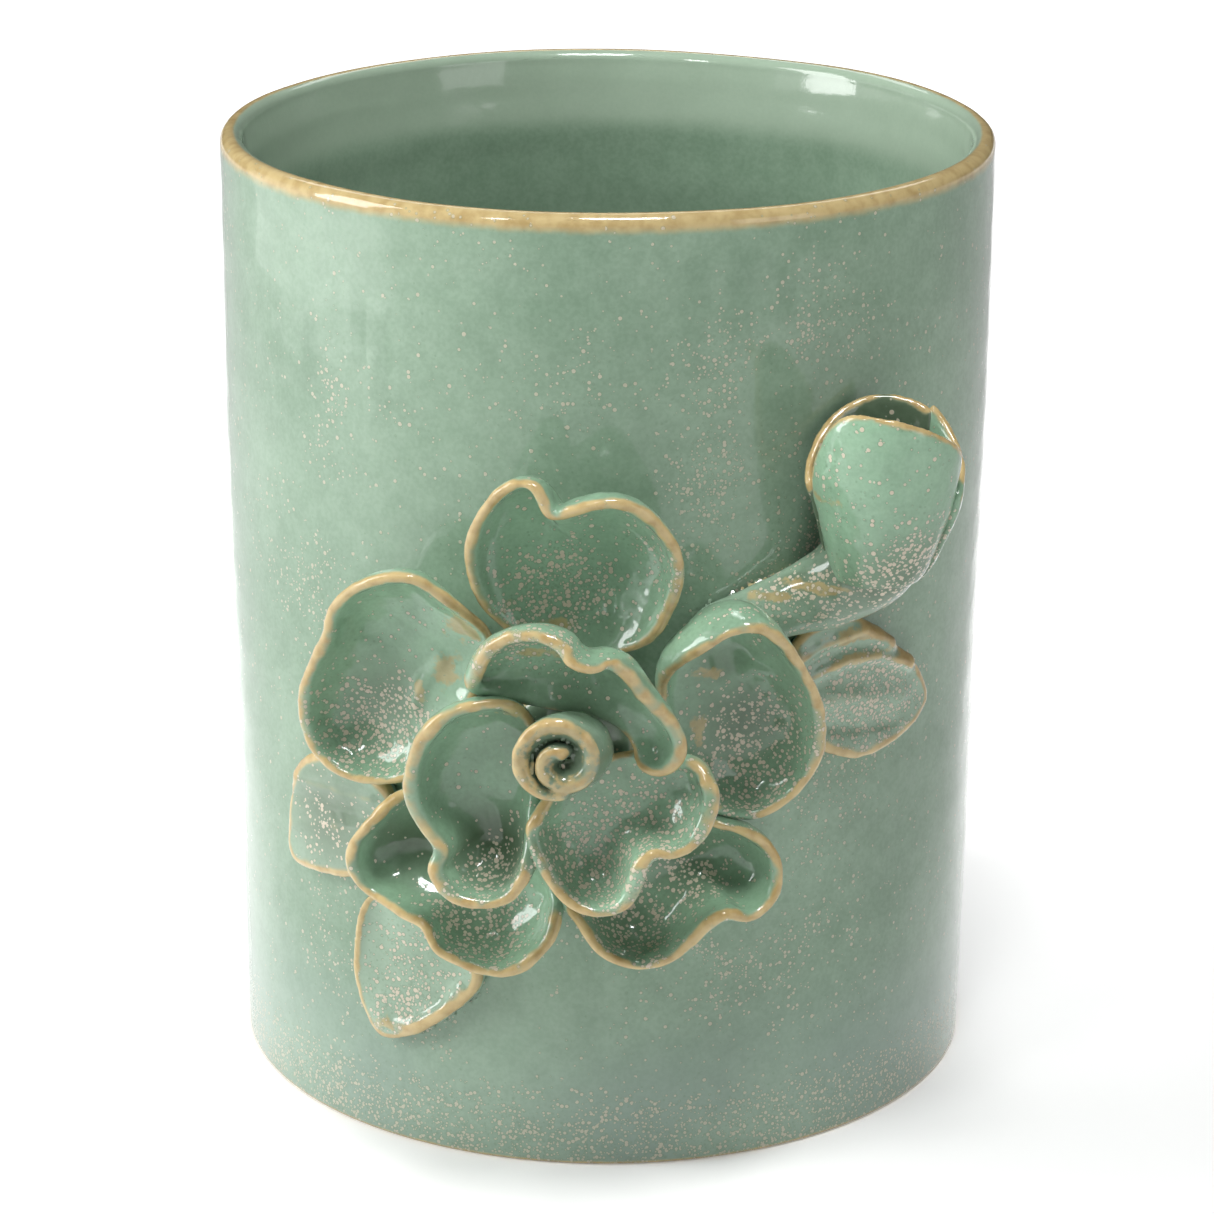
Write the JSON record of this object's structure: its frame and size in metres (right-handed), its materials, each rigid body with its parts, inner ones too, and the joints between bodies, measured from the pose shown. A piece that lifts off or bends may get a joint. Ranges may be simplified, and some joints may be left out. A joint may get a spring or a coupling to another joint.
{
  "type": "brush_holder_pot",
  "caption": "Round stoneware pot for standing brushes and pens in, with a straight well and a hand-built flower, bud and leaves on its front under a celadon glaze",
  "frame": {"origin": "centre of the foot ring, on the plane the pot stands on", "axes": "Z is the axis of the thrown pot and points up out of its mouth; the flower is on the -Y side; X is to the right as seen from the front"},
  "size_m": [0.085, 0.1042, 0.1058],
  "materials": {
    "glaze_pot": "clear celadon glaze over stoneware, glossy",
    "glaze_petal": "celadon glaze breaking to amber on the edges, glossy",
    "glaze_leaf": "celadon glaze breaking to amber on the veins and edges, glossy",
    "glaze_deep": "pooled celadon glaze, glossy",
    "glaze_amber": "celadon glaze breaking to amber on a thin edge, glossy"
  },
  "bodies": {
    "root": {"pot_body": "glaze_pot", "flower_boss": "glaze_deep", "outer_petal_top": "glaze_petal", "outer_petal_upper_left": "glaze_petal", "outer_petal_right": "glaze_petal", "outer_petal_lower_left": "glaze_petal", "outer_petal_lower_right": "glaze_petal", "inner_petal_top": "glaze_petal", "inner_petal_left": "glaze_petal", "inner_petal_lower_right": "glaze_petal", "flower_centre_coil": "glaze_amber", "leaf_right": "glaze_leaf", "leaf_left": "glaze_leaf", "leaf_lower_left": "glaze_leaf", "bud_stem": "glaze_deep", "bud_petal_front": "glaze_petal", "bud_petal_back": "glaze_deep", "bud_petal_right": "glaze_petal"}
  },
  "joints": []
}
